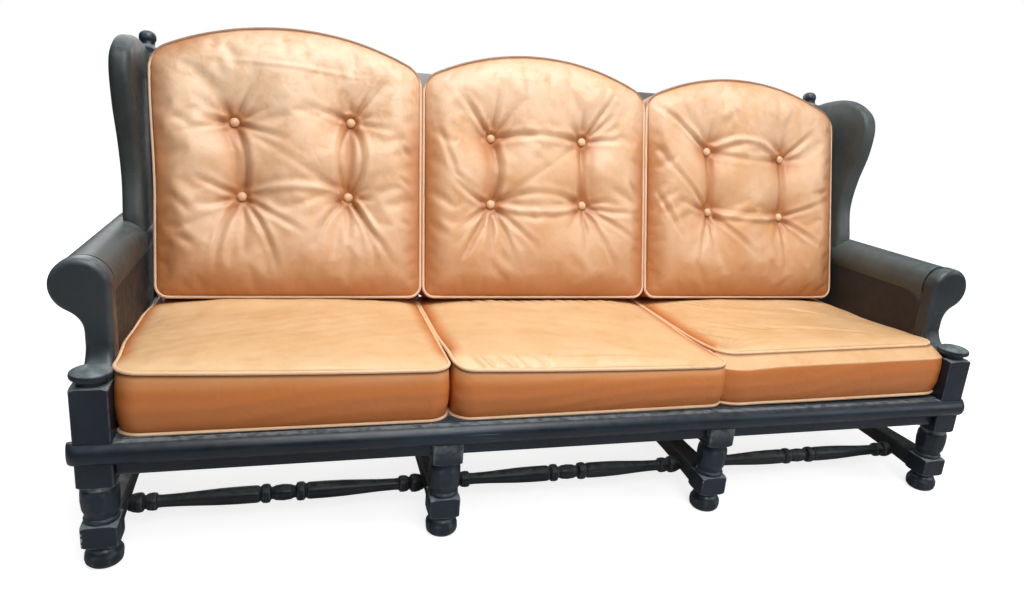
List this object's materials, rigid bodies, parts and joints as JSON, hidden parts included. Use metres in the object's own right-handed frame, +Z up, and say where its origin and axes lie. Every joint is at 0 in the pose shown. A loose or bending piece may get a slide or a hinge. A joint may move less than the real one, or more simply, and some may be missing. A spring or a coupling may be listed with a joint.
{
  "type": "wing-back sofa",
  "caption": "Long wing-back settee: turned, black-painted wooden frame with scrolled arms and loose, piped, worn leather seat and arched button-back cushions.",
  "frame": {"origin": "on the floor under the middle of the whole sofa", "axes": "+X to the right seen from the front, along the seat; +Y from the front to the back; +Z up"},
  "size_m": [2.072, 0.79, 1.0113],
  "materials": {
    "frame_paint": "black satin paint, rubbed and chipped at the edges",
    "back_leather": "worn tan leather, satin",
    "seat_leather": "worn caramel leather, polished by use",
    "webbing": "woven jute"
  },
  "bodies": {
    "root": {"front_post_left": "frame_paint", "front_post_right": "frame_paint", "front_leg_middle_left": "frame_paint", "front_leg_middle_right": "frame_paint", "front_moulding": "frame_paint", "front_rail": "frame_paint", "back_seat_rail": "frame_paint", "side_rail_left": "frame_paint", "side_rail_right": "frame_paint", "cross_rail_left": "frame_paint", "cross_rail_right": "frame_paint", "back_post_left": "frame_paint", "back_post_right": "frame_paint", "back_leg_middle_left": "frame_paint", "back_leg_middle_right": "frame_paint", "side_stretcher_outer_left": "frame_paint", "side_stretcher_outer_right": "frame_paint", "side_stretcher_inner_left": "frame_paint", "side_stretcher_inner_right": "frame_paint", "turned_stretcher_left": "frame_paint", "turned_stretcher_middle": "frame_paint", "turned_stretcher_right": "frame_paint", "arm_front_left": "frame_paint", "arm_front_right": "frame_paint", "arm_roll_left": "frame_paint", "arm_roll_right": "frame_paint", "arm_panel_left": "frame_paint", "arm_panel_right": "frame_paint", "wing_left": "frame_paint", "wing_right": "frame_paint", "back_top_rail": "frame_paint", "back_stile_left": "frame_paint", "back_stile_right": "frame_paint", "back_slats_left": "frame_paint", "back_slats_middle": "frame_paint", "back_slats_right": "frame_paint", "seat_webbing_left": "webbing", "seat_webbing_middle": "webbing", "seat_webbing_right": "webbing", "seat_cushion_left": "seat_leather", "seat_cushion_middle": "seat_leather", "seat_cushion_right": "seat_leather", "back_cushion_left": "back_leather", "back_cushion_middle": "back_leather", "back_cushion_right": "back_leather", "button_left_1": "back_leather", "button_left_2": "back_leather", "button_left_3": "back_leather", "button_left_4": "back_leather", "button_middle_1": "back_leather", "button_middle_2": "back_leather", "button_middle_3": "back_leather", "button_middle_4": "back_leather", "button_right_1": "back_leather", "button_right_2": "back_leather", "button_right_3": "back_leather", "button_right_4": "back_leather"}
  },
  "joints": []
}
